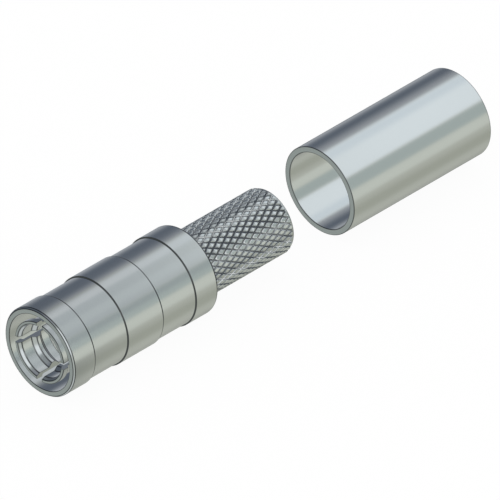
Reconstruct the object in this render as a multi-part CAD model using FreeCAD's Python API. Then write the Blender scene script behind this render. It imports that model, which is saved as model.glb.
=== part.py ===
import FreeCAD, Part
import math
import os
from FreeCAD import Vector

# Push-on coaxial cable plug for crimping, with its crimp ferrule beside it on the same axis.
# Millimetres. +X runs along the axis from the mating face, where the origin is, to the cable.
# +Z is up. Every turned piece is a closed profile of (x, radius) points, spun about the X axis.

# Shell: three lands with two shallow waists between them, and a chamfered rim
LAND_R = 3.2
WAIST_R = 3.1
FRONT_LAND_LENGTH = 2.0
FRONT_WAIST_LENGTH = 2.95
MIDDLE_LAND_LENGTH = 3.25
REAR_WAIST_LENGTH = 2.95
REAR_LAND_LENGTH = 1.95
RIM_CHAMFER_WIDTH = 0.1
RIM_CHAMFER_DEPTH = 0.12
MOUTH_R = 2.76
MOUTH_DEPTH = 5.0
SPRING_SEAT_R = 2.45
SPRING_SEAT_LENGTH = 2.4
INSULATOR_POCKET_R = 2.2
INSULATOR_POCKET_LENGTH = 2.0
SEAT_GAP = 0.01

# Crimp stem: a tube with a diamond knurl and a short plain pilot at its open end
CHAMBER_R = 1.25
CHAMBER_SPARE = 0.2
STEM_BORE_R = 1.55
STEM_BORE_CHAMFER = 0.12
KNURL_CREST_R = 2.37
KNURL_GROOVE_DEPTH = 0.08
KNURL_GROOVE_COUNT = 32
KNURL_GROOVE_ANGLE = 29.0
KNURL_LENGTH = 7.7
KNURL_FLAT_SHARE = 0.6
PILOT_LENGTH = 0.2
PILOT_STEP = 0.02

# Spring contact: a slotted tube whose tips carry a snap bead on the inside
FINGER_OUTER_R = 2.05
FINGER_BORE_R = 1.885
FINGER_ROOT_BORE_R = 1.9
FINGER_SLOT_COUNT = 4
FINGER_SLOT_WIDTH = 0.46
FINGER_SLOT_LENGTH = 4.3
FINGER_BASE_TAPER = 0.4
TIP_COLLAR_R = 2.24
TIP_COLLAR_LENGTH = 0.45
TIP_COLLAR_TAPER = 0.1
TIP_LEAD_IN_R = 2.01
TIP_LEAD_IN_DEPTH = 0.26
BEAD_CREST_R = 1.62
BEAD_START = 1.12
BEAD_RISE_LENGTH = 0.25
BEAD_CREST_LENGTH = 0.3
BEAD_FALL_LENGTH = 0.29

# Insulator: its nose fills the back of the spring contact, its flange sits in the shell's pocket
INSULATOR_FACE_DEPTH = 2.5
INSULATOR_GAP = 0.02

# Centre contact: a slotted socket in front, a locating collar, and a barrel for the cable's wire
CONTACT_PROUD = 0.2
CONTACT_R = 0.6
CONTACT_SOCKET_R = 0.27
CONTACT_SOCKET_DEPTH = 2.4
CONTACT_SLOT_COUNT = 2
CONTACT_SLOT_WIDTH = 0.14
CONTACT_SLOT_LENGTH = 1.8
CONTACT_TIP_CHAMFER = 0.12
CONTACT_COLLAR_R = 0.85
CONTACT_COLLAR_LENGTH = 1.4
CONTACT_BARREL_R = 0.75
CONTACT_BARREL_LENGTH = 3.2
CONTACT_GAP = 0.01
WIRE_BORE_R = 0.5
WIRE_BORE_DEPTH = 3.0
SOLDER_HOLE_R = 0.25

# Crimp ferrule: a plain tube, clear of the knurl, and held off behind the stem
FERRULE_LENGTH = 12.7
FERRULE_OUTER_R = 3.175
FERRULE_BORE_R = 2.75
FERRULE_STANDOFF = 4.65

# Places along the axis that follow from the lengths above
FRONT_WAIST_X = FRONT_LAND_LENGTH
MIDDLE_LAND_X = FRONT_WAIST_X + FRONT_WAIST_LENGTH
REAR_WAIST_X = MIDDLE_LAND_X + MIDDLE_LAND_LENGTH
REAR_LAND_X = REAR_WAIST_X + REAR_WAIST_LENGTH
SHOULDER_X = REAR_LAND_X + REAR_LAND_LENGTH
KNURL_END_X = SHOULDER_X + KNURL_LENGTH
STEM_END_X = KNURL_END_X + PILOT_LENGTH
KNURL_ROOT_R = KNURL_CREST_R - KNURL_GROOVE_DEPTH
PILOT_R = KNURL_ROOT_R - PILOT_STEP
POCKET_X = MOUTH_DEPTH + SPRING_SEAT_LENGTH
POCKET_END_X = POCKET_X + INSULATOR_POCKET_LENGTH
COLLAR_X = POCKET_END_X - CONTACT_COLLAR_LENGTH
BARREL_END_X = POCKET_END_X + CONTACT_BARREL_LENGTH
CABLE_STOP_X = BARREL_END_X + CHAMBER_SPARE
FERRULE_X = STEM_END_X + FERRULE_STANDOFF


def turned(profile):
    """Solid of revolution about X from a closed profile of (x, radius) points."""
    corners = [Vector(x, 0, radius) for x, radius in profile]
    face = Part.Face(Part.makePolygon(corners + corners[:1]))
    return face.revolve(Vector(0, 0, 0), Vector(1, 0, 0), 360)


def turned_skin(profile):
    """Faces left by an open profile of (x, radius) points that is spun about X."""
    wire = Part.makePolygon([Vector(x, 0, radius) for x, radius in profile])
    return wire.revolve(Vector(0, 0, 0), Vector(1, 0, 0), 360).Faces


def across_axis(x, radius):
    """Circular wire round the axis at x."""
    return Part.Wire(Part.makeCircle(radius, Vector(x, 0, 0), Vector(1, 0, 0)))


def cut_slots(body, count, width, reach, start, length):
    """Cuts equally spaced slots through one wall of a tube, from start along the axis."""
    slot = Part.makeBox(length, width, reach, Vector(start, -width / 2, 0))
    slots = []
    for index in range(count):
        one = slot.copy()
        one.rotate(Vector(0, 0, 0), Vector(1, 0, 0), index * 360 / count)
        slots.append(one)
    return body.cut(slots)


class Knurl:
    """Diamond knurl: two families of V grooves that cross on a lattice round the stem.

    The lattice has KNURL_GROOVE_COUNT crossings in each row. Every other row is turned by half a
    step, and between four crossings stands one diamond with a flat top at the crest radius.
    """

    def __init__(self, start, length):
        self.step = 2 * math.pi / KNURL_GROOVE_COUNT
        pitch = KNURL_CREST_R * self.step / math.tan(math.radians(KNURL_GROOVE_ANGLE))
        self.rows = max(2, round(2 * length / pitch))
        self.start = start
        self.row_length = length / self.rows
        self.flat_angle = KNURL_FLAT_SHARE * self.step / 2
        self.flat_length = KNURL_FLAT_SHARE * self.row_length

    def point(self, x, angle, radius):
        return Vector(x, radius * math.sin(angle), radius * math.cos(angle))

    def crossing(self, row, column):
        """Where two grooves cross: columns count half steps round the stem."""
        x = self.start + row * self.row_length
        return self.point(x, column * self.step / 2, KNURL_ROOT_R)

    def diamond(self, row, column):
        """Triangles of the diamond centred on a row, cut in half on the first and last row."""
        x = self.start + row * self.row_length
        angle = column * self.step / 2
        sides = [side for side in (-1, 1) if 0 <= row + side <= self.rows]
        left = self.point(x, angle - self.flat_angle, KNURL_CREST_R)
        right = self.point(x, angle + self.flat_angle, KNURL_CREST_R)
        triangles = []
        for side in sides:
            tip = self.point(x + side * self.flat_length, angle, KNURL_CREST_R)
            low_tip = self.crossing(row + side, column)
            triangles.append((left, right, tip))
            for corner, turn in ((left, -1), (right, 1)):
                low_corner = self.crossing(row, column + turn)
                triangles.append((corner, tip, low_tip))
                triangles.append((corner, low_tip, low_corner))
        return triangles

    def skin(self):
        """All the diamonds' faces, from the shoulder to the pilot."""
        faces = []
        for row in range(self.rows + 1):
            for column in range(row % 2, 2 * KNURL_GROOVE_COUNT, 2):
                for corners in self.diamond(row, column):
                    faces.append(Part.Face(Part.makePolygon(list(corners) + [corners[0]])))
        return faces

    def end_outline(self, row):
        """Closed outline of the knurl where it is cut across, on its first or last row."""
        x = self.start + row * self.row_length
        points = []
        for column in range(row % 2, 2 * KNURL_GROOVE_COUNT, 2):
            angle = column * self.step / 2
            points.append(self.crossing(row, column - 1))
            points.append(self.point(x, angle - self.flat_angle, KNURL_CREST_R))
            points.append(self.point(x, angle + self.flat_angle, KNURL_CREST_R))
        return Part.makePolygon(points + points[:1])


def body_shell():
    """Shell and crimp stem, turned from one bar and knurled, closed from its separate skins."""
    profile = [
        (SHOULDER_X, LAND_R),
        (REAR_LAND_X, LAND_R),
        (REAR_LAND_X, WAIST_R),
        (REAR_WAIST_X, WAIST_R),
        (REAR_WAIST_X, LAND_R),
        (MIDDLE_LAND_X, LAND_R),
        (MIDDLE_LAND_X, WAIST_R),
        (FRONT_WAIST_X, WAIST_R),
        (FRONT_WAIST_X, LAND_R),
        (RIM_CHAMFER_DEPTH, LAND_R),
        (0, LAND_R - RIM_CHAMFER_WIDTH),
        (0, MOUTH_R),
        (MOUTH_DEPTH, MOUTH_R),
        (MOUTH_DEPTH, SPRING_SEAT_R),
        (POCKET_X, SPRING_SEAT_R),
        (POCKET_X, INSULATOR_POCKET_R),
        (POCKET_END_X, INSULATOR_POCKET_R),
        (POCKET_END_X, CHAMBER_R),
        (CABLE_STOP_X, CHAMBER_R),
        (CABLE_STOP_X, STEM_BORE_R),
        (STEM_END_X - STEM_BORE_CHAMFER, STEM_BORE_R),
        (STEM_END_X, STEM_BORE_R + STEM_BORE_CHAMFER),
        (STEM_END_X, PILOT_R),
        (KNURL_END_X, PILOT_R),
    ]
    knurl = Knurl(SHOULDER_X, KNURL_LENGTH)
    shoulder = Part.Face([across_axis(SHOULDER_X, LAND_R), knurl.end_outline(0)])
    pilot_step = Part.Face([knurl.end_outline(knurl.rows), across_axis(KNURL_END_X, PILOT_R)])
    faces = turned_skin(profile) + [shoulder, pilot_step] + knurl.skin()
    skin = Part.makeShell(faces)
    skin.sewShape()
    solid = Part.makeSolid(skin)
    if solid.Volume < 0:
        solid.reverse()
    return solid


def spring_contact():
    """Slotted spring tube, pressed into the shell, that snaps over the mating barrel."""
    crest_x = BEAD_START + BEAD_RISE_LENGTH
    fall_x = crest_x + BEAD_CREST_LENGTH
    profile = [
        (0, TIP_LEAD_IN_R),
        (0, TIP_COLLAR_R),
        (TIP_COLLAR_LENGTH, TIP_COLLAR_R),
        (TIP_COLLAR_LENGTH + TIP_COLLAR_TAPER, FINGER_OUTER_R),
        (MOUTH_DEPTH - FINGER_BASE_TAPER, FINGER_OUTER_R),
        (MOUTH_DEPTH, SPRING_SEAT_R - SEAT_GAP),
        (POCKET_X, SPRING_SEAT_R - SEAT_GAP),
        (POCKET_X, FINGER_ROOT_BORE_R),
        (fall_x + BEAD_FALL_LENGTH, FINGER_ROOT_BORE_R),
        (fall_x, BEAD_CREST_R),
        (crest_x, BEAD_CREST_R),
        (BEAD_START, FINGER_BORE_R),
        (TIP_LEAD_IN_DEPTH, FINGER_BORE_R),
    ]
    tube = turned(profile)
    slot_reach = LAND_R
    return cut_slots(tube, FINGER_SLOT_COUNT, FINGER_SLOT_WIDTH, slot_reach, 0, FINGER_SLOT_LENGTH)


def insulator():
    """Plastic bush that holds the centre contact on the axis."""
    nose_r = FINGER_ROOT_BORE_R - INSULATOR_GAP
    hole_r = CONTACT_R + CONTACT_GAP
    pocket_r = CONTACT_COLLAR_R + CONTACT_GAP
    profile = [
        (INSULATOR_FACE_DEPTH, hole_r),
        (INSULATOR_FACE_DEPTH, nose_r),
        (POCKET_X, nose_r),
        (POCKET_X, INSULATOR_POCKET_R - SEAT_GAP),
        (POCKET_END_X, INSULATOR_POCKET_R - SEAT_GAP),
        (POCKET_END_X, pocket_r),
        (COLLAR_X, pocket_r),
        (COLLAR_X, hole_r),
    ]
    return turned(profile)


def centre_contact():
    """Turned socket with spring slots, a collar behind it, and a barrel for the wire."""
    tip_x = INSULATOR_FACE_DEPTH - CONTACT_PROUD
    wire_x = BARREL_END_X - WIRE_BORE_DEPTH
    socket_x = tip_x + CONTACT_SOCKET_DEPTH
    profile = [
        (tip_x, CONTACT_SOCKET_R),
        (tip_x, CONTACT_R - CONTACT_TIP_CHAMFER),
        (tip_x + CONTACT_TIP_CHAMFER, CONTACT_R),
        (COLLAR_X, CONTACT_R),
        (COLLAR_X, CONTACT_COLLAR_R),
        (POCKET_END_X, CONTACT_COLLAR_R),
        (POCKET_END_X, CONTACT_BARREL_R),
        (BARREL_END_X, CONTACT_BARREL_R),
        (BARREL_END_X, WIRE_BORE_R),
        (wire_x, WIRE_BORE_R),
        (wire_x, 0),
        (socket_x, 0),
        (socket_x, CONTACT_SOCKET_R),
    ]
    pin = turned(profile)
    pin = cut_slots(
        pin, CONTACT_SLOT_COUNT, CONTACT_SLOT_WIDTH, CONTACT_COLLAR_R, tip_x, CONTACT_SLOT_LENGTH
    )
    hole_x = (wire_x + BARREL_END_X) / 2
    solder_hole = Part.makeCylinder(SOLDER_HOLE_R, CONTACT_COLLAR_R, Vector(hole_x, 0, 0))
    return pin.cut(solder_hole)


def crimp_ferrule():
    """Plain tube that is slid over the braid and the stem, and crimped."""
    end_x = FERRULE_X + FERRULE_LENGTH
    profile = [
        (FERRULE_X, FERRULE_BORE_R),
        (FERRULE_X, FERRULE_OUTER_R),
        (end_x, FERRULE_OUTER_R),
        (end_x, FERRULE_BORE_R),
    ]
    return turned(profile)


PIECES = {
    "body_shell": body_shell,
    "spring_contact": spring_contact,
    "insulator": insulator,
    "centre_contact": centre_contact,
    "crimp_ferrule": crimp_ferrule,
}

os.makedirs("parts", exist_ok=True)
for name, make in PIECES.items():
    piece = make()
    box = piece.BoundBox
    print(name, "valid", piece.isValid(), "volume", round(piece.Volume, 3))
    print("  x", round(box.XMin, 3), round(box.XMax, 3), "faces", len(piece.Faces))
    piece.exportStep(os.path.join("parts", name + ".step"))
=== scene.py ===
# %% [markdown]
# # A push-on coaxial plug and its crimp ferrule
#
# The real object is a small plug for coaxial cable, turned from brass and plated with nickel. Its
# front clicks over a jack with four spring fingers. Its back is a knurled stem: the cable's braid
# goes over the knurl, and the loose tube beside it, the ferrule, is crimped over the braid.
#
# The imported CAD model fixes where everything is. This lesson gives each visible piece a finer
# skin, worked out as whole numpy arrays, and a plated, gilded or plastic finish made of nodes.
# The row's axis is X, from the mating face at 0 to the cable end, and +Z is up.

import math

import bmesh
import bpy
import numpy as np
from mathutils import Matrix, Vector


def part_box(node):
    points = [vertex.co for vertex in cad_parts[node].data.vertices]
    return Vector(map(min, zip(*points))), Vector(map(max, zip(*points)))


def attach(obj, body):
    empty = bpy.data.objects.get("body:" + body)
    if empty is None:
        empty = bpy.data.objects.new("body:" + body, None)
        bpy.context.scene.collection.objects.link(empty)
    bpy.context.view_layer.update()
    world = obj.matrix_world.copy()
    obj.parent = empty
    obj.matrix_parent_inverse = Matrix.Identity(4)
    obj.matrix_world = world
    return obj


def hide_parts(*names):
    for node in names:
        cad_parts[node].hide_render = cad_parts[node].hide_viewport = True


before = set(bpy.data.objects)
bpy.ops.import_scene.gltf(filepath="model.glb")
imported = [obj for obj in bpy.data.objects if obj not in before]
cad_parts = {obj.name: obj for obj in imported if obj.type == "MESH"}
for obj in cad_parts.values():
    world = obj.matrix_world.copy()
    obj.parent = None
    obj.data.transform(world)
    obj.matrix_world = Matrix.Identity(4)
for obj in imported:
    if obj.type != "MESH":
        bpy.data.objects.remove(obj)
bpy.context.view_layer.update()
print(len(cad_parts), "CAD nodes")

# %% [markdown]
# ## Sizes
#
# What the frame knows is read from it, so that the skins follow the CAD pieces: where a piece
# starts and ends, and its outer radius. The other sizes are the ones a maker would put on the
# drawing, in metres, and they lie inside those boxes.

# %% Sizes from the frame and from the drawing
MM = 0.001
shell_low, shell_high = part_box("body_shell")
spring_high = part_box("spring_contact")[1]
bush_low, bush_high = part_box("insulator")
contact_low, contact_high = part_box("centre_contact")
ferrule_low, ferrule_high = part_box("crimp_ferrule")

# The shell's outside: three lands, with a waist between each two
LAND_R = shell_high.z
WAIST_DROP = 0.1 * MM
WAIST_R = LAND_R - WAIST_DROP
LAND_STARTS = (0.0, 4.95 * MM, 11.15 * MM)
LAND_ENDS = (2.0 * MM, 8.2 * MM, 13.1 * MM)
RIM_CHAMFER_WIDTH = 0.1 * MM
RIM_CHAMFER_DEPTH = 0.12 * MM
LAND_EDGE_LENGTH = 0.08 * MM
LAND_EDGE_DROP = 0.035 * MM

# Its inside, from the mouth to the cable end
MOUTH_R = 2.76 * MM
MOUTH_DEPTH = 5.0 * MM
SPRING_SEAT_R = spring_high.z
SPRING_END = spring_high.x
BUSH_R = bush_high.z
BUSH_END = bush_high.x
CHAMBER_R = 1.25 * MM
CHAMBER_SPARE = 0.2 * MM
CABLE_STOP = contact_high.x + CHAMBER_SPARE
STEM_BORE_R = 1.55 * MM
STEM_BORE_CHAMFER = 0.12 * MM

# The knurled stem, and the plain pilot at its end
STEM_END = shell_high.x
PILOT_LENGTH = 0.2 * MM
CREST_R = 2.37 * MM
ROOT_R = 2.29 * MM
PILOT_R = 2.27 * MM
print("stem", round(LAND_ENDS[2] / MM, 2), "to", round(STEM_END / MM, 2), "mm")

# %% [markdown]
# ## Turned skins
#
# Nearly everything here was made on a lathe, so one recipe serves: a closed profile of (x,
# radius) points is carried round the X axis. A sharp corner never shines on a real turned piece,
# because the tool and the plating leave a small round there. So each corner of the profile
# becomes a short curve first. Extra points just outside the curve hold the flat faces flat when
# they are shaded smoothly. Each point of a profile also carries a third number, its edge share:
# 1 on the curves and 0 elsewhere. It is painted shade: it darkens the colour along the edges, so
# that they show as dark lines.

# %% Round the corners of a profile
ARC_SHARES = np.array([0.0, 0.33, 0.67, 1.0])
LARGEST_CUT = 0.28
SUPPORT_SHARE = 1.6
SHORT_SIDE = 0.1 * MM
STRAIGHT = 0.999


def rounded(profile, radius, closed=True):
    """Rows (x, radius, edge share) of a profile with its corners rounded.

    A corner C, with unit directions a to the point before it and b to the point after it, is cut
    back by t, which is the radius, or LARGEST_CUT times the shorter side if that is less. The
    curve is the quadratic Bezier curve (1-u)^2 (C + t a) + 2u (1-u) C + u^2 (C + t b). One support
    point lies SUPPORT_SHARE t from the corner on each side. Points on a straight run, and the two
    ends of an open profile, stay as they are. The edge share is painted shade: 1 on the curve, and
    a side below SHORT_SIDE carries it from end to end.
    """
    corners = np.array(profile, float)
    out = []
    for index, corner in enumerate(corners):
        before = corners[index - 1] - corner
        after = corners[(index + 1) % len(corners)] - corner
        at_end = not closed and index in (0, len(corners) - 1)
        sides = np.linalg.norm(before), np.linalg.norm(after)
        if at_end or before @ after < -STRAIGHT * sides[0] * sides[1]:
            out.append([(*corner, 0.0)])
            continue
        t = min(radius, LARGEST_CUT * min(sides))
        a, b = before / sides[0] * t, after / sides[1] * t
        u = ARC_SHARES[:, None]
        arc = (1 - u) ** 2 * (corner + a) + 2 * u * (1 - u) * corner + u**2 * (corner + b)
        row = np.vstack([corner + SUPPORT_SHARE * a, arc, corner + SUPPORT_SHARE * b])
        ends = [float(side < SHORT_SIDE) for side in sides]
        out.append(np.column_stack([row, [ends[0], *np.ones(len(arc)), ends[1]]]))
    return np.vstack(out)


# %% [markdown]
# The mesh itself is a grid: one row for each profile point, one column for each angle. A grid
# that closes both ways, round the axis and round the profile, is a closed skin with no seams. A
# profile that starts and ends on the axis closes there with a pole instead, where the points of a
# row lie so close together that they are merged.

# %% Build a mesh from rows and columns
SHARP_ANGLE = math.radians(29)
SAME_POINT = 1e-8


def add_piece(name, points, faces, shade, skin_faces=None):
    """Mesh object from points and faces, with its faces turned outwards and shaded smoothly.

    The attribute "shade" holds each point's share of painted shade, which darkens its colour.
    Where skin_faces is given, only that many faces, the first ones, have it, and the rest, the
    walls of slots, stay bright.
    """
    mesh = bpy.data.meshes.new(name)
    mesh.from_pydata(points.tolist(), [], faces)
    corner_points = np.empty(len(mesh.loops), np.int32)
    mesh.loops.foreach_get("vertex_index", corner_points)
    values = np.asarray(shade, np.float32)[corner_points]
    if skin_faces is not None:
        values[mesh.polygons[skin_faces].loop_start :] = 0
    mesh.attributes.new("shade", "FLOAT", "CORNER").data.foreach_set("value", values)
    shape = bmesh.new()
    shape.from_mesh(mesh)
    bmesh.ops.remove_doubles(shape, verts=shape.verts, dist=SAME_POINT)
    bmesh.ops.recalc_face_normals(shape, faces=shape.faces)
    shape.to_mesh(mesh)
    shape.free()
    mesh.shade_smooth()
    mesh.set_sharp_from_angle(angle=SHARP_ANGLE)
    piece = bpy.data.objects.new(name, mesh)
    bpy.context.scene.collection.objects.link(piece)
    print(name, len(mesh.vertices), "points,", len(mesh.polygons), "faces")
    return piece


def spin(x, radius, angle):
    """Points (x, radius sin(angle), radius cos(angle)), from arrays of one shape."""
    return np.stack([x, radius * np.sin(angle), radius * np.cos(angle)], axis=-1)


def ring_quads(first, second, columns):
    """Quads between rows that start at the indices first and second, all the way round."""
    here = np.arange(columns)
    there = (here + 1) % columns
    corners = np.broadcast_arrays(
        first[:, None] + here, first[:, None] + there, second[:, None] + there, second[:, None] + here
    )
    return np.stack(corners, axis=-1)


def turned_piece(name, profile, columns):
    """Closed profile spun about X: row i, column j is the profile point i at the angle 2 pi j / n."""
    rows = len(profile)
    angle = np.arange(columns) * 2 * math.pi / columns
    x, radius, shade = (np.repeat(part[:, None], columns, axis=1) for part in profile.T)
    points = spin(x, radius, np.broadcast_to(angle, x.shape)).reshape(-1, 3)
    starts = np.arange(rows) * columns
    quads = ring_quads(starts, np.roll(starts, -1), columns)
    return add_piece(name, points, quads.reshape(-1, 4).tolist(), shade.reshape(-1))


# %% [markdown]
# The two springy contacts need one thing more. Where a slot runs, the columns that lie in it are
# left out, and its two walls and its end are closed with flat faces.

# %% Cut slots into a turned grid
LEAF_COLUMNS = 33
SLOT_COLUMNS = 3
MAX_EDGE_SINE = 0.6
SAME_PLACE = 1e-7


def slotted_piece(name, profile, count, width, slot_end, on_axis=False):
    """Turned skin with count slots of a constant width, cut from its tip at the low x to slot_end.

    At the radius r a slot's edge stands asin(width / 2r) from its middle, so that its walls are
    flat and parallel. Near the axis, where no slot runs, MAX_EDGE_SINE holds that angle down.
    Each leaf has LEAF_COLUMNS columns from edge to edge, and each slot has SLOT_COLUMNS more
    between its edges, which only the rows behind the slot use. A profile that is on_axis starts
    and ends there, so its last row doesn't join its first.
    """
    x, radius, shade = profile.T
    edge = np.arcsin(np.minimum(width / 2 / np.maximum(radius, width / 2), MAX_EDGE_SINE))[:, None]
    leaf = np.linspace(0, 1, LEAF_COLUMNS)[None, :]
    gap = np.linspace(-1, 1, SLOT_COLUMNS + 2)[None, 1:-1]
    sector = 2 * math.pi / count
    one = np.hstack([gap * edge, edge + leaf * (sector - 2 * edge)])
    angle = np.hstack([one + index * sector for index in range(count)])
    columns = angle.shape[1]
    wide_x, wide_r = (np.repeat(part[:, None], columns, axis=1) for part in (x, radius))
    points = spin(wide_x, wide_r, angle).reshape(-1, 3)
    per_sector = columns // count
    in_slot = x < slot_end - SAME_PLACE
    starts = np.arange(len(x)) * columns
    first = starts[:-1] if on_axis else starts
    second = starts[1:] if on_axis else np.roll(starts, -1)
    slotted = (in_slot[:-1] | in_slot[1:]) if on_axis else (in_slot | np.roll(in_slot, -1))
    quads = ring_quads(first, second, columns)
    place = np.arange(columns) % per_sector
    over_gap = (place < SLOT_COLUMNS) | (place == per_sector - 1)
    kept = ~(slotted[:, None] & over_gap[None, :])
    faces = quads[kept].tolist()
    skin_faces = len(faces)
    # Painted shade along each slot's edges on the leaves, which draws them as dark lines
    leaf_edge = (place == SLOT_COLUMNS) | (place == per_sector - 1)
    shade = np.maximum(shade[:, None], in_slot[:, None] & leaf_edge[None, :]).reshape(-1)
    rows = np.flatnonzero(in_slot)
    wall_rows = np.arange(rows[0] - 1, rows[-1] + 2)
    for sector_index in range(count):
        base = sector_index * per_sector
        low_edge = base + SLOT_COLUMNS
        high_edge = base + per_sector - 1
        faces.append((starts[wall_rows] + low_edge).tolist())
        faces.append((starts[wall_rows] + high_edge).tolist())
        floor = [(base - 1 + step) % columns for step in range(SLOT_COLUMNS + 2)]
        top, bottom = starts[wall_rows[0]], starts[wall_rows[-1]]
        for left, right in zip(floor[:-1], floor[1:]):
            faces.append([top + left, top + right, bottom + right, bottom + left])
    return add_piece(name, points, faces, shade, skin_faces)


# %% [markdown]
# ## The shell and its knurled stem
#
# On the real plug the shell and the stem are one turned piece. The knurl is rolled into the stem
# by two wheels that leave two families of V grooves, one leaning each way, and between them
# stand rows of small diamonds with flat tops. A bump map would look right only from far away,
# so the diamonds are real here: they are rows of the same grid as the rest of the shell, and
# the height of each point comes from a formula. A point also gets a share of painted shade,
# which darkens the grooves. It grows with the third power of the depth, which keeps the tops
# bright and makes the grooves' bottoms the darkest.

# %% The knurl as rows of the shell's grid
# Grooves of one hand round the stem, and rows of diamonds along it
GROOVES = 32
KNURL_ROWS = 18
# Grid steps from a diamond's middle to its corner, and how many of them lie on its flat top
STEPS = 5
FLAT_STEPS = 3
COLUMNS = GROOVES * 2 * STEPS
# Share of painted shade at a groove's bottom, and the power of the depth that it grows with
GROOVE_SHADE = 1.2
GROOVE_SHADE_POWER = 3


def knurl_rows(start, end):
    """x, radius and groove depth of each knurl point, as arrays of rows by columns.

    Lengths count in diamond rows and angles in half pitches. In the diamond that holds a point, a
    and b are its distances from the middle in these two units, and a + b is 0 in the middle and 1
    on the grooves around it. The depth is 0 up to a + b = FLAT_STEPS / STEPS, and grows evenly to
    1 at a + b = 1. The radius falls with it from the crest's to the root's.
    """
    row = np.arange(KNURL_ROWS * STEPS + 1) / STEPS
    column = np.arange(COLUMNS) / STEPS
    u = (row[:, None] + column[None, :]) / 2
    v = (row[:, None] - column[None, :]) / 2
    across = np.maximum(np.abs(u - np.floor(u) - 0.5), np.abs(v - np.floor(v) - 0.5)) * 2
    flat = FLAT_STEPS / STEPS
    depth = np.clip((across - flat) / (1 - flat), 0, 1)
    radius = CREST_R - (CREST_R - ROOT_R) * depth
    x = np.broadcast_to((start + (end - start) * row / KNURL_ROWS)[:, None], radius.shape)
    return x, radius, depth


def split_on_grooves(first_row, rows):
    """Two triangles for each quad of the knurl, split along the line of equal depth in it."""
    i, j = np.meshgrid(np.arange(rows), np.arange(COLUMNS), indexing="ij")
    near, far = first_row + i * COLUMNS, first_row + (i + 1) * COLUMNS
    here, there = j, (j + 1) % COLUMNS
    p, q, r, s = near + here, near + there, far + there, far + here
    leans = ((i // STEPS) + (j // STEPS)) % 2 == 0
    one = np.where(leans[..., None], np.stack([p, q, s], -1), np.stack([p, q, r], -1))
    two = np.where(leans[..., None], np.stack([q, r, s], -1), np.stack([p, r, s], -1))
    return np.concatenate([one.reshape(-1, 3), two.reshape(-1, 3)])


print("knurl:", KNURL_ROWS * STEPS + 1, "rows by", COLUMNS, "columns")

# %% The shell's skin
LATHE_EDGE = 0.03 * MM
# Share of painted shade on the pilot, which darkens its bright band
PILOT_SHADE = 0.4
# The shoulder's flat face ends this far outside the crests, so that no groove darkens it
KNURL_FOOT = 0.03 * MM


def land_edge(end):
    """The rear edge of a land, which the tool breaks with a low chamfer."""
    return [(end, LAND_R - LAND_EDGE_DROP), (end - LAND_EDGE_LENGTH, LAND_R)]


def shell_profile():
    """Open profile from the shoulder's foot, forwards over the lands, and back through the bores.

    It ends at the knurl, where the pilot's points have at least the share PILOT_SHADE of painted shade.
    """
    outside = [(LAND_ENDS[2], CREST_R + KNURL_FOOT), *land_edge(LAND_ENDS[2])]
    for start, end in zip(LAND_STARTS[:0:-1], LAND_ENDS[1::-1]):
        outside += [(start, LAND_R), (start, WAIST_R), (end, WAIST_R), *land_edge(end)]
    rim = [
        (RIM_CHAMFER_DEPTH, LAND_R),
        (0, LAND_R - RIM_CHAMFER_WIDTH),
        (0, MOUTH_R),
    ]
    inside = [
        (MOUTH_DEPTH, MOUTH_R),
        (MOUTH_DEPTH, SPRING_SEAT_R),
        (SPRING_END, SPRING_SEAT_R),
        (SPRING_END, BUSH_R),
        (BUSH_END, BUSH_R),
        (BUSH_END, CHAMBER_R),
        (CABLE_STOP, CHAMBER_R),
        (CABLE_STOP, STEM_BORE_R),
        (STEM_END - STEM_BORE_CHAMFER, STEM_BORE_R),
        (STEM_END, STEM_BORE_R + STEM_BORE_CHAMFER),
        (STEM_END, PILOT_R),
        (STEM_END - PILOT_LENGTH, PILOT_R),
    ]
    skin = rounded(outside + rim + inside, LATHE_EDGE, closed=False)
    on_pilot = (skin[:, 0] > STEM_END - PILOT_LENGTH - SAME_PLACE) & (skin[:, 1] > PILOT_R - SAME_PLACE)
    skin[on_pilot, 2] = np.maximum(skin[on_pilot, 2], PILOT_SHADE)
    return skin


def make_shell():
    """One closed grid: the turned rows, then the knurl's rows, which end where the first began."""
    turned = shell_profile()
    x, radius, edge = (np.repeat(part[:, None], COLUMNS, axis=1) for part in turned.T)
    knurl_x, knurl_r, depth = knurl_rows(STEM_END - PILOT_LENGTH, LAND_ENDS[2])
    angle = np.broadcast_to(np.arange(COLUMNS) * 2 * math.pi / COLUMNS, x.shape)
    knurl_angle = np.broadcast_to(angle[0], knurl_x.shape)
    points = np.vstack([spin(x, radius, angle), spin(knurl_x, knurl_r, knurl_angle)])
    rows, knurl_first = len(x) + len(knurl_x), len(x) * COLUMNS
    plain = np.arange(len(x)) * COLUMNS
    quads = ring_quads(plain, plain + COLUMNS, COLUMNS).reshape(-1, 4).tolist()
    last = np.array([(rows - 1) * COLUMNS])
    quads += ring_quads(last, np.array([0]), COLUMNS).reshape(-1, 4).tolist()
    triangles = split_on_grooves(knurl_first, len(knurl_x) - 1).tolist()
    shade = np.vstack([edge, GROOVE_SHADE * depth**GROOVE_SHADE_POWER]).reshape(-1)
    return add_piece("plated_shell", points.reshape(-1, 3), quads + triangles, shade)


shell = make_shell()

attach(shell, "connector")
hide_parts("body_shell")

# %% [markdown]
# ## The spring contact
#
# Four fingers spread over the jack's barrel and snap into its groove. They are one tube with
# four slots. Each tip has a collar outside and a flared lead-in and a snap bead inside, and the
# uncut end behind the slots is pressed into the shell.

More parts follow.
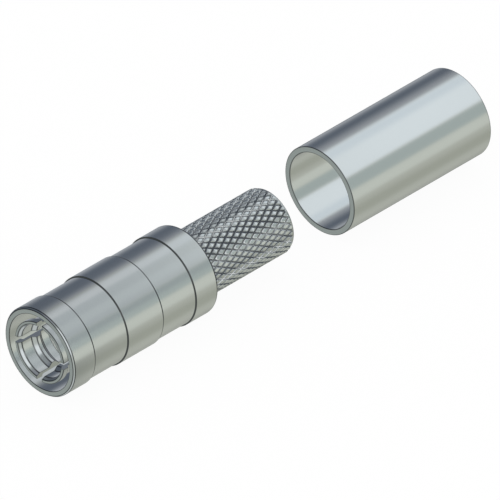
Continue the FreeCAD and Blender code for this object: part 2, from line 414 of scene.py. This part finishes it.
# %% Spring contact
EDGE_ROUND = 0.04 * MM
FINGERS = 4
FINGER_OUTER_R = 2.05 * MM
FINGER_BORE_R = 1.885 * MM
FINGER_ROOT_BORE_R = 1.9 * MM
FINGER_SLOT_WIDTH = 0.46 * MM
FINGER_SLOT_LENGTH = 4.3 * MM
SEAT_TAPER = 0.4 * MM
TIP_COLLAR_R = 2.24 * MM
TIP_COLLAR_LENGTH = 0.45 * MM
TIP_COLLAR_TAPER = 0.1 * MM
LEAD_IN_R = 2.01 * MM
LEAD_IN_LENGTH = 0.26 * MM
BEAD_R = 1.62 * MM
BEAD = (
    (1.12 * MM, FINGER_BORE_R),
    (1.37 * MM, BEAD_R),
    (1.67 * MM, BEAD_R),
    (1.96 * MM, FINGER_ROOT_BORE_R),
)

spring_profile = [
    (SPRING_END, FINGER_ROOT_BORE_R),
    (SPRING_END, SPRING_SEAT_R),
    (MOUTH_DEPTH, SPRING_SEAT_R),
    (MOUTH_DEPTH - SEAT_TAPER, FINGER_OUTER_R),
    (FINGER_SLOT_LENGTH, FINGER_OUTER_R),
    (TIP_COLLAR_LENGTH + TIP_COLLAR_TAPER, FINGER_OUTER_R),
    (TIP_COLLAR_LENGTH, TIP_COLLAR_R),
    (0, TIP_COLLAR_R),
    (0, LEAD_IN_R),
    (LEAD_IN_LENGTH, FINGER_BORE_R),
    *BEAD,
    (FINGER_SLOT_LENGTH, FINGER_ROOT_BORE_R),
]
spring = slotted_piece(
    "spring_fingers",
    rounded(spring_profile, EDGE_ROUND),
    FINGERS,
    FINGER_SLOT_WIDTH,
    FINGER_SLOT_LENGTH,
)
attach(spring, "connector")
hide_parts("spring_contact")

# %% [markdown]
# ## Insulator, centre contact and ferrule
#
# The insulator is a plain turned bush. The centre contact is a gilded socket with a barrel behind
# it. Its profile starts and ends on the axis, at the bottoms of its two blind holes, two slots
# part the socket into two springy leaves, and a hole in the barrel's wall lets the solder in. The
# ferrule is a piece of tube with its cut edges broken.

# %% Insulator
CONTACT_R = 0.6 * MM
CONTACT_COLLAR_R = contact_high.z
COLLAR_LENGTH = 1.4 * MM
NOSE_SLIP = 0.02 * MM
NOSE_R = FINGER_ROOT_BORE_R - NOSE_SLIP
SLIP = 0.01 * MM
BUSH_ROUND = 0.08 * MM
BUSH_COLUMNS = 128
bush_profile = [
    (bush_low.x, CONTACT_R + SLIP),
    (bush_low.x, NOSE_R),
    (SPRING_END, NOSE_R),
    (SPRING_END, BUSH_R),
    (BUSH_END, BUSH_R),
    (BUSH_END, CONTACT_COLLAR_R + SLIP),
    (BUSH_END - COLLAR_LENGTH, CONTACT_COLLAR_R + SLIP),
    (BUSH_END - COLLAR_LENGTH, CONTACT_R + SLIP),
]
bush = turned_piece("white_bush", rounded(bush_profile, BUSH_ROUND), BUSH_COLUMNS)
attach(bush, "connector")
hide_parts("insulator")

# %% Centre contact
SOCKET_R = 0.27 * MM
SOCKET_DEPTH = 2.4 * MM
SOCKET_CHAMFER = 0.12 * MM
SOCKET_SLOTS = 2
SOCKET_SLOT_WIDTH = 0.14 * MM
SOCKET_SLOT_LENGTH = 1.8 * MM
BARREL_R = 0.75 * MM
WIRE_BORE_R = 0.5 * MM
WIRE_BORE_DEPTH = 3.0 * MM
SOLDER_HOLE_R = 0.25 * MM
DRILL_SIDES = 32
# The radius of the profile's two ends, so small that their points merge into a pole
AXIS_R = 1e-6 * MM
tip = contact_low.x
socket_slot_end = tip + SOCKET_SLOT_LENGTH
contact_profile = [
    (contact_high.x - WIRE_BORE_DEPTH, AXIS_R),
    (contact_high.x - WIRE_BORE_DEPTH, WIRE_BORE_R),
    (contact_high.x, WIRE_BORE_R),
    (contact_high.x, BARREL_R),
    (BUSH_END, BARREL_R),
    (BUSH_END, CONTACT_COLLAR_R),
    (BUSH_END - COLLAR_LENGTH, CONTACT_COLLAR_R),
    (BUSH_END - COLLAR_LENGTH, CONTACT_R),
    (socket_slot_end, CONTACT_R),
    (tip + SOCKET_CHAMFER, CONTACT_R),
    (tip, CONTACT_R - SOCKET_CHAMFER),
    (tip, SOCKET_R),
    (socket_slot_end, SOCKET_R),
    (tip + SOCKET_DEPTH, SOCKET_R),
    (tip + SOCKET_DEPTH, AXIS_R),
]
contact = slotted_piece(
    "gilded_contact",
    rounded(contact_profile, LATHE_EDGE, closed=False),
    SOCKET_SLOTS,
    SOCKET_SLOT_WIDTH,
    socket_slot_end,
    on_axis=True,
)


def drill(piece, x, radius, reach):
    """Cuts a round hole from the axis upwards through one wall of a piece."""
    bpy.ops.mesh.primitive_cylinder_add(
        vertices=DRILL_SIDES, radius=radius, depth=reach, location=(x, 0, reach / 2)
    )
    tool = bpy.context.object
    cut = piece.modifiers.new("drill", "BOOLEAN")
    cut.operation = "DIFFERENCE"
    cut.object = tool
    bpy.context.view_layer.objects.active = piece
    bpy.ops.object.modifier_apply(modifier=cut.name)
    bpy.data.objects.remove(tool)
    print(piece.name, "drilled:", len(piece.data.vertices), "points")


drill(contact, contact_high.x - WIRE_BORE_DEPTH / 2, SOLDER_HOLE_R, CONTACT_COLLAR_R)
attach(contact, "connector")
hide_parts("centre_contact")

# %% Ferrule
FERRULE_BORE_R = 2.75 * MM
FERRULE_COLUMNS = 192
ferrule_profile = [
    (ferrule_low.x, FERRULE_BORE_R),
    (ferrule_low.x, ferrule_high.z),
    (ferrule_high.x, ferrule_high.z),
    (ferrule_high.x, FERRULE_BORE_R),
]
ferrule = turned_piece("plain_ferrule", rounded(ferrule_profile, EDGE_ROUND), FERRULE_COLUMNS)
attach(ferrule, "ferrule")
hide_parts("crimp_ferrule")

# %% [markdown]
# ## Finishes
#
# All the pieces came off a lathe, so they share one effect: fine rings that the tool left, which
# run round the axis on the cylinders and in circles on the end faces. Handling leaves a second
# one, faint dull patches. Both are node groups with named inputs, built once and placed in each
# finish with its own values. They put out only colours, roughness and height.

# %% Helpers for node trees
NOISE_MIDDLE = 0.5


def add_node(tree, kind, inputs=None, **settings):
    """Node of one kind, with its settings, and with values or links for its inputs."""
    node = tree.nodes.new(kind)
    for key, value in settings.items():
        setattr(node, key, value)
    for key, value in (inputs or {}).items():
        if isinstance(value, bpy.types.NodeSocket):
            tree.links.new(value, node.inputs[key])
        else:
            node.inputs[key].default_value = value
    return node


def math_node(tree, operation, first, second):
    """Output of a Math node."""
    return add_node(tree, "ShaderNodeMath", {0: first, 1: second}, operation=operation).outputs[0]


def toned(tree, colour, value):
    """Output of a colour whose brightness is multiplied by a value."""
    return add_node(tree, "ShaderNodeHueSaturation", {"Color": colour, "Value": value}).outputs[0]


def swing(tree, noise, strength):
    """Output of a noise that runs from 0 to 1, as a swing about 0, times a strength."""
    about_zero = math_node(tree, "SUBTRACT", noise, NOISE_MIDDLE)
    return math_node(tree, "MULTIPLY", about_zero, strength)


def new_group(name, inputs, outputs):
    """Shader node group with named sockets, and its input and output nodes."""
    group = bpy.data.node_groups.new(name, "ShaderNodeTree")
    for in_out, sockets in (("INPUT", inputs), ("OUTPUT", outputs)):
        for socket_name, socket_type in sockets.items():
            group.interface.new_socket(socket_name, in_out=in_out, socket_type=socket_type)
    return group, group.nodes.new("NodeGroupInput"), group.nodes.new("NodeGroupOutput")


# %% Turning marks
MARK_DETAIL = 2.0
# How far a ring of strength 1 changes the roughness and the brightness
MARK_ROUGHNESS = 0.25
MARK_BRIGHTNESS = 0.12


def turning_marks_group():
    """Rings on x + r, where r is the distance from the axis, as noise in one dimension."""
    group, given, out = new_group(
        "turning marks",
        {
            "Colour": "NodeSocketColor",
            "Roughness": "NodeSocketFloat",
            "Rings per metre": "NodeSocketFloat",
            "Strength": "NodeSocketFloat",
        },
        {"Colour": "NodeSocketColor", "Roughness": "NodeSocketFloat", "Height": "NodeSocketFloat"},
    )
    place = add_node(group, "ShaderNodeTexCoord").outputs["Object"]
    axes = add_node(group, "ShaderNodeSeparateXYZ", {0: place}).outputs
    across = add_node(group, "ShaderNodeCombineXYZ", {"Y": axes["Y"], "Z": axes["Z"]}).outputs[0]
    radius = add_node(group, "ShaderNodeVectorMath", {0: across}, operation="LENGTH").outputs["Value"]
    along = math_node(group, "ADD", axes["X"], radius)
    ring = math_node(group, "MULTIPLY", along, given.outputs["Rings per metre"])
    noise = add_node(
        group,
        "ShaderNodeTexNoise",
        {"W": ring, "Scale": 1.0, "Detail": MARK_DETAIL},
        noise_dimensions="1D",
    ).outputs[0]
    mark = swing(group, noise, given.outputs["Strength"])
    rougher = math_node(group, "MULTIPLY", mark, MARK_ROUGHNESS)
    roughness = math_node(group, "ADD", given.outputs["Roughness"], rougher)
    value = math_node(group, "ADD", 1.0, math_node(group, "MULTIPLY", mark, MARK_BRIGHTNESS))
    height = math_node(group, "MULTIPLY", noise, given.outputs["Strength"])
    group.links.new(toned(group, given.outputs["Colour"], value), out.inputs["Colour"])
    group.links.new(roughness, out.inputs["Roughness"])
    group.links.new(height, out.inputs["Height"])
    return group


# %% Handling haze
HAZE_DETAIL = 3.0
HAZE_DARKENING = 0.3


def haze_group():
    """Soft patches from noise in three dimensions, which dull the surface a little."""
    group, given, out = new_group(
        "handling haze",
        {
            "Colour": "NodeSocketColor",
            "Roughness": "NodeSocketFloat",
            "Patches per metre": "NodeSocketFloat",
            "Amount": "NodeSocketFloat",
        },
        {"Colour": "NodeSocketColor", "Roughness": "NodeSocketFloat"},
    )
    place = add_node(group, "ShaderNodeTexCoord").outputs["Object"]
    noise = add_node(
        group,
        "ShaderNodeTexNoise",
        {"Vector": place, "Scale": given.outputs["Patches per metre"], "Detail": HAZE_DETAIL},
    ).outputs[0]
    patch = swing(group, noise, given.outputs["Amount"])
    roughness = math_node(group, "ADD", given.outputs["Roughness"], patch)
    value = math_node(group, "SUBTRACT", 1.0, math_node(group, "MULTIPLY", patch, HAZE_DARKENING))
    group.links.new(toned(group, given.outputs["Colour"], value), out.inputs["Colour"])
    group.links.new(roughness, out.inputs["Roughness"])
    return group


MARKS = turning_marks_group()
HAZE = haze_group()
print("node groups:", MARKS.name, "and", HAZE.name)

# %% [markdown]
# A finish is one Principled shader. Metal is fully metallic, and its colour is what it reflects:
# nickel is a light grey. What is the same all over, such as metallic, is set on the shader's own
# socket. Only what varies comes from the groups. The share of painted shade in the mesh darkens
# the colour first, at the edges and in the grooves, and each finish says how much.

# %% Finishes
BUMP_METRES = 0.4e-6
PATCHES_PER_METRE = 220.0


def finish_material(name, colour, roughness, metallic, rings, ring_strength, haze, edge_shade):
    """Principled material with the two shared effects, and with darker edges and grooves."""
    material = bpy.data.materials.new(name)
    material.use_nodes = True
    tree = material.node_tree
    shader = tree.nodes["Principled BSDF"]
    shader.inputs["Metallic"].default_value = metallic
    # Painted shade: the mesh's attribute "shade" darkens the colour at the edges and in the grooves
    painted_shade = add_node(tree, "ShaderNodeAttribute", attribute_name="shade").outputs["Fac"]
    value = math_node(tree, "SUBTRACT", 1.0, math_node(tree, "MULTIPLY", painted_shade, edge_shade))
    marks_inputs = {
        "Colour": toned(tree, (*colour, 1.0), value),
        "Roughness": roughness,
        "Rings per metre": rings,
        "Strength": ring_strength,
    }
    marks = add_node(tree, "ShaderNodeGroup", marks_inputs, node_tree=MARKS).outputs
    haze_inputs = {
        "Colour": marks["Colour"],
        "Roughness": marks["Roughness"],
        "Patches per metre": PATCHES_PER_METRE,
        "Amount": haze,
    }
    dulled = add_node(tree, "ShaderNodeGroup", haze_inputs, node_tree=HAZE).outputs
    bump = add_node(tree, "ShaderNodeBump", {"Height": marks["Height"], "Distance": BUMP_METRES})
    tree.links.new(dulled["Colour"], shader.inputs["Base Color"])
    tree.links.new(dulled["Roughness"], shader.inputs["Roughness"])
    tree.links.new(bump.outputs[0], shader.inputs["Normal"])
    return material


NICKEL = (0.72, 0.73, 0.715)
GOLD = (0.86, 0.64, 0.27)
WHITE_PLASTIC = (0.86, 0.88, 0.83)
RINGS = 12000.0
finishes = {
    # name, colour, roughness, metallic, rings per metre, ring strength, haze, edge shade
    "plated_shell": ("nickel plate, shell", NICKEL, 0.17, 1.0, RINGS, 0.4, 0.05, 0.8),
    "spring_fingers": ("nickel plate, spring", NICKEL, 0.18, 1.0, RINGS, 0.4, 0.05, 0.72),
    "plain_ferrule": ("nickel plate, ferrule", NICKEL, 0.17, 1.0, RINGS, 0.35, 0.05, 0.72),
    "gilded_contact": ("gold plate", GOLD, 0.2, 1.0, RINGS, 0.4, 0.05, 0.4),
    "white_bush": ("white fluoroplastic", WHITE_PLASTIC, 0.5, 0.0, RINGS, 0.6, 0.08, 0.7),
}
pieces = (shell, spring, bush, contact, ferrule)
for piece in pieces:
    piece.data.materials.clear()
    piece.data.materials.append(finish_material(*finishes[piece.name]))
    print(piece.name, "has the finish", piece.data.materials[0].name)

# %% [markdown]
# ## Studio
#
# Polished metal shows what stands around it. A product photographer builds a tent of pale cloth
# with a few grey and white boards in it, so that a cylinder shows clean bands of tone. The tent
# here is a wide tube round the plug's axis, and its tone is a formula of the angle and of the
# place along the axis. Only reflections see it, and they see nothing else: the pieces don't
# mirror one another, so a bore shows the same clean bands as the outside.
#
# Angles run from +Y, away from the camera, over the top at 90 to the camera's side at 180 and
# below at 270. In the picture's view a cylinder mirrors what hangs about 42 mm further along X
# than it stands itself, so the place along X chooses which piece shows a board. Faces that look
# forwards mirror the boards at a low X, and faces that look back mirror those at a high X.

# %% The tent's boards
CLOTH = (0.52, 0.54, 0.49)
# Start, end and softness in degrees round the axis
ALL_ROUND = (-90, 400, 1)
# Start, end and softness in millimetres along X: for every cylinder, for the shell, for the stem
# and the ferrule, for the stem alone, and for flat faces that look forwards
ALL_X = (-900, 900, 1)
NEAR = (-900, 57, 12)
FAR = (57, 900, 12)
STEM = (56, 64, 1)
FRONT = (-900, 0, 6)
BOARDS = [
    # A grey board away from the camera, with a dark middle
    ((-90, 58, 11), ALL_X, (0.43, 0.455, 0.495)),
    ((-5, 40, 21), ALL_X, (0.13, 0.153, 0.194)),
    ((20, 48, 20), NEAR, (0.13, 0.153, 0.194)),
    # Pale boards overhead, the whiter ones for the ferrule
    ((62, 142, 5), NEAR, (0.475, 0.52, 0.55)),
    ((63, 83, 5), NEAR, (0.62, 0.655, 0.69)),
    ((108, 128, 5), NEAR, (0.53, 0.58, 0.605)),
    ((58, 141, 6), FAR, (0.89, 0.965, 1.02)),
    ((60, 84, 9), FAR, (0.76, 0.845, 0.92)),
    # Grey and pale strips on the camera's side
    ((143, 173, 4), ALL_X, (0.455, 0.52, 0.515)),
    ((143, 157, 5), NEAR, (0.37, 0.42, 0.435)),
    ((172, 198, 6), ALL_X, (0.675, 0.71, 0.66)),
    ((214, 243, 10), ALL_X, (0.435, 0.455, 0.4)),
    # A grey board below, and dark strips for the outlines of the ferrule and of the stem
    ((274, 400, 12), ALL_X, (0.43, 0.445, 0.41)),
    ((-60, -26, 12), FAR, (0.18, 0.19, 0.21)),
    ((298, 330, 9), FAR, (0.2, 0.21, 0.2)),
    ((-60, -16, 10), STEM, (0.05, 0.06, 0.07)),
    ((286, 330, 10), STEM, (0.04, 0.045, 0.04)),
    # Dark cloth for chamfers and for the knurl's flanks, and two white strips for its glints
    (ALL_ROUND, (-900, 24, 6), (0.1, 0.115, 0.14)),
    ((196, 300, 8), (-900, 39, 3), (0.16, 0.18, 0.19)),
    ((-60, 70, 8), (-900, 38, 3), (0.1, 0.115, 0.14)),
    ((90, 97, 3), (-900, 27, 7), (1.3, 1.35, 1.4)),
    ((146, 165, 4), (-900, 27, 7), (1.7, 1.75, 1.8)),
    # Grey cloth before the mouth, with dark, white and pale boards round it
    (ALL_ROUND, FRONT, (0.36, 0.4, 0.39)),
    ((26, 96, 10), FRONT, (0.28, 0.3, 0.34)),
    ((-22, 60, 9), FRONT, (0.1, 0.12, 0.15)),
    ((106, 182, 7), FRONT, (0.9, 0.96, 1.0)),
    ((180, 226, 8), FRONT, (0.55, 0.59, 0.57)),
    ((26, 124, 7), (-900, -70, 8), (0.31, 0.34, 0.36)),
    ((226, 286, 8), (-900, 20, 6), (0.6, 0.64, 0.65)),
    # Dark cloth behind the ferrule, with one white board
    (ALL_ROUND, (100, 900, 12), (0.1, 0.12, 0.15)),
    ((35, 112, 8), (128, 900, 10), (0.85, 0.9, 0.95)),
]
print(len(BOARDS), "boards")

# %% Tent
TENT_R = 60 * MM
TENT_X = (-400 * MM, 600 * MM)
TENT_ANGLES = 361
TENT_STATIONS = 501
# In degrees, as the boards' angles are
SEAM = -45
FULL_TURN = 360


def smooth_step(low, high, value):
    """3t^2 - 2t^3, where t runs from 0 at low to 1 at high."""
    t = np.clip((value - low) / (high - low), 0, 1)
    return t * t * (3 - 2 * t)


def within(span, value):
    """1 inside a span of start and end, falling to 0 within its softness on both sides of each."""
    start, end, soft = span
    return smooth_step(start - soft, start + soft, value) - smooth_step(end - soft, end + soft, value)


def make_tent():
    """Tube (x, R cos a, R sin a). Each board's tone is laid over the cloth and the boards before it."""
    angle = np.linspace(SEAM, SEAM + FULL_TURN, TENT_ANGLES)
    x = np.linspace(*TENT_X, TENT_STATIONS)
    wide_x, wide_a = np.meshgrid(x, angle, indexing="ij")
    turn = np.radians(wide_a)
    points = np.stack([wide_x, TENT_R * np.cos(turn), TENT_R * np.sin(turn)], -1).reshape(-1, 3)
    tone = np.broadcast_to(np.array(CLOTH), wide_x.shape + (3,)).copy()
    for across, along, board in BOARDS:
        share = within(across, wide_a) * within(along, wide_x / MM)
        tone += share[..., None] * (np.array(board) - tone)
    i, j = np.meshgrid(np.arange(TENT_STATIONS - 1), np.arange(TENT_ANGLES - 1), indexing="ij")
    corner = i * TENT_ANGLES + j
    quads = np.stack([corner, corner + 1, corner + TENT_ANGLES + 1, corner + TENT_ANGLES], -1)
    mesh = bpy.data.meshes.new("tent")
    mesh.from_pydata(points.tolist(), [], quads.reshape(-1, 4).tolist())
    layer = mesh.attributes.new("tone", "FLOAT_COLOR", "POINT")
    layer.data.foreach_set("color", np.dstack([tone, np.ones(wide_x.shape)]).reshape(-1))
    tent = bpy.data.objects.new("tent", mesh)
    bpy.context.scene.collection.objects.link(tent)
    return tent


def cloth_material():
    """Emission of strength 1, in the colours of the attribute "tone"."""
    material = bpy.data.materials.new("tent cloth")
    material.use_nodes = True
    tree = material.node_tree
    tree.nodes.remove(tree.nodes["Principled BSDF"])
    tone = add_node(tree, "ShaderNodeAttribute", attribute_name="tone")
    glow = add_node(tree, "ShaderNodeEmission", {"Color": tone.outputs["Color"]})
    tree.links.new(glow.outputs[0], tree.nodes["Material Output"].inputs["Surface"])
    return material


tent = make_tent()
tent.data.materials.append(cloth_material())
for way in ("visible_camera", "visible_diffuse", "visible_transmission", "visible_shadow"):
    setattr(tent, way, False)
tent.visible_volume_scatter = False
for piece in pieces:
    piece.visible_glossy = False
print("tent:", len(tent.data.vertices), "points")

# %% [markdown]
# The floor is a pale board that touches the lowest point of the plug. It is white to the camera,
# so that the picture's ground is white, and still keeps a little of the plug's soft shadow. The
# world is an even white light for the plastic and for the floor.

# %% Floor
FLOOR_HALF = 0.6
FLOOR_COLOUR = (0.97, 0.97, 0.97, 1.0)
SHADOW_SHARE = 0.05
WHITE = (1.0, 1.0, 1.0, 1.0)


def make_floor():
    """Square at the height of the plug's lowest point."""
    z = -LAND_R
    corners = [(-1, -1), (1, -1), (1, 1), (-1, 1)]
    mesh = bpy.data.meshes.new("floor")
    mesh.from_pydata([(x * FLOOR_HALF, y * FLOOR_HALF, z) for x, y in corners], [], [(0, 1, 2, 3)])
    floor = bpy.data.objects.new("floor", mesh)
    bpy.context.scene.collection.objects.link(floor)
    return floor


def floor_material():
    """Diffuse board, mixed with plain white for the camera."""
    material = bpy.data.materials.new("pale board")
    material.use_nodes = True
    tree = material.node_tree
    tree.nodes.remove(tree.nodes["Principled BSDF"])
    board = add_node(tree, "ShaderNodeBsdfDiffuse", {"Color": FLOOR_COLOUR}).outputs[0]
    white = add_node(tree, "ShaderNodeEmission", {"Color": WHITE}).outputs[0]
    path = add_node(tree, "ShaderNodeLightPath").outputs
    to_camera = math_node(tree, "MULTIPLY", path["Is Camera Ray"], 1 - SHADOW_SHARE)
    mix = add_node(tree, "ShaderNodeMixShader", {0: to_camera, 1: board, 2: white})
    tree.links.new(mix.outputs[0], tree.nodes["Material Output"].inputs["Surface"])
    return material


floor = make_floor()
floor.data.materials.append(floor_material())
floor.visible_glossy = False
print("floor at z =", round(-LAND_R, 5))

# %% World
LIGHT_STRENGTH = 1.0


def make_world():
    """Even white light, which is also what the camera sees past the floor."""
    world = bpy.data.worlds.new("studio")
    world.use_nodes = True
    light = world.node_tree.nodes["Background"]
    light.inputs["Color"].default_value = WHITE
    light.inputs["Strength"].default_value = LIGHT_STRENGTH
    return world


bpy.context.scene.world = make_world()
bpy.context.scene.view_settings.view_transform = "Standard"
print("world:", bpy.context.scene.world.name)

# %% [markdown]
# ## Camera
#
# The picture is an isometric view, from 45 degrees to the side and 35.26 degrees above, drawn
# without perspective. A very long lens from far away gives the same picture, and it still frames
# the whole plug by itself from any other side.

# %% Camera
IMAGE_PIXELS = 500
MIDDLE_PIXEL = (249.4, 231.5)
FRAME_WIDTH = 32.5 * MM
LENS = 1700.0
SENSOR = 36.0


def make_camera():
    """Camera that puts the middle of the box on MIDDLE_PIXEL and shows FRAME_WIDTH there."""
    back = Vector((-1, -1, 1)).normalized()
    right = Vector((1, -1, 0)).normalized()
    up = back.cross(right)
    pixel = FRAME_WIDTH / IMAGE_PIXELS
    half = IMAGE_PIXELS / 2
    middle = Vector(((shell_low.x + ferrule_high.x) / 2, 0, 0))
    aim = middle + right * (half - MIDDLE_PIXEL[0]) * pixel + up * (MIDDLE_PIXEL[1] - half) * pixel
    data = bpy.data.cameras.new("camera")
    data.lens = LENS
    data.sensor_width = SENSOR
    distance = FRAME_WIDTH * LENS / SENSOR
    data.clip_end = 2 * distance
    camera = bpy.data.objects.new("camera", data)
    camera.location = aim + back * distance
    camera.rotation_euler = (-back).to_track_quat("-Z", "Y").to_euler()
    bpy.context.scene.collection.objects.link(camera)
    return camera


bpy.context.scene.camera = make_camera()
print("camera at", tuple(round(value, 3) for value in bpy.context.scene.camera.location))
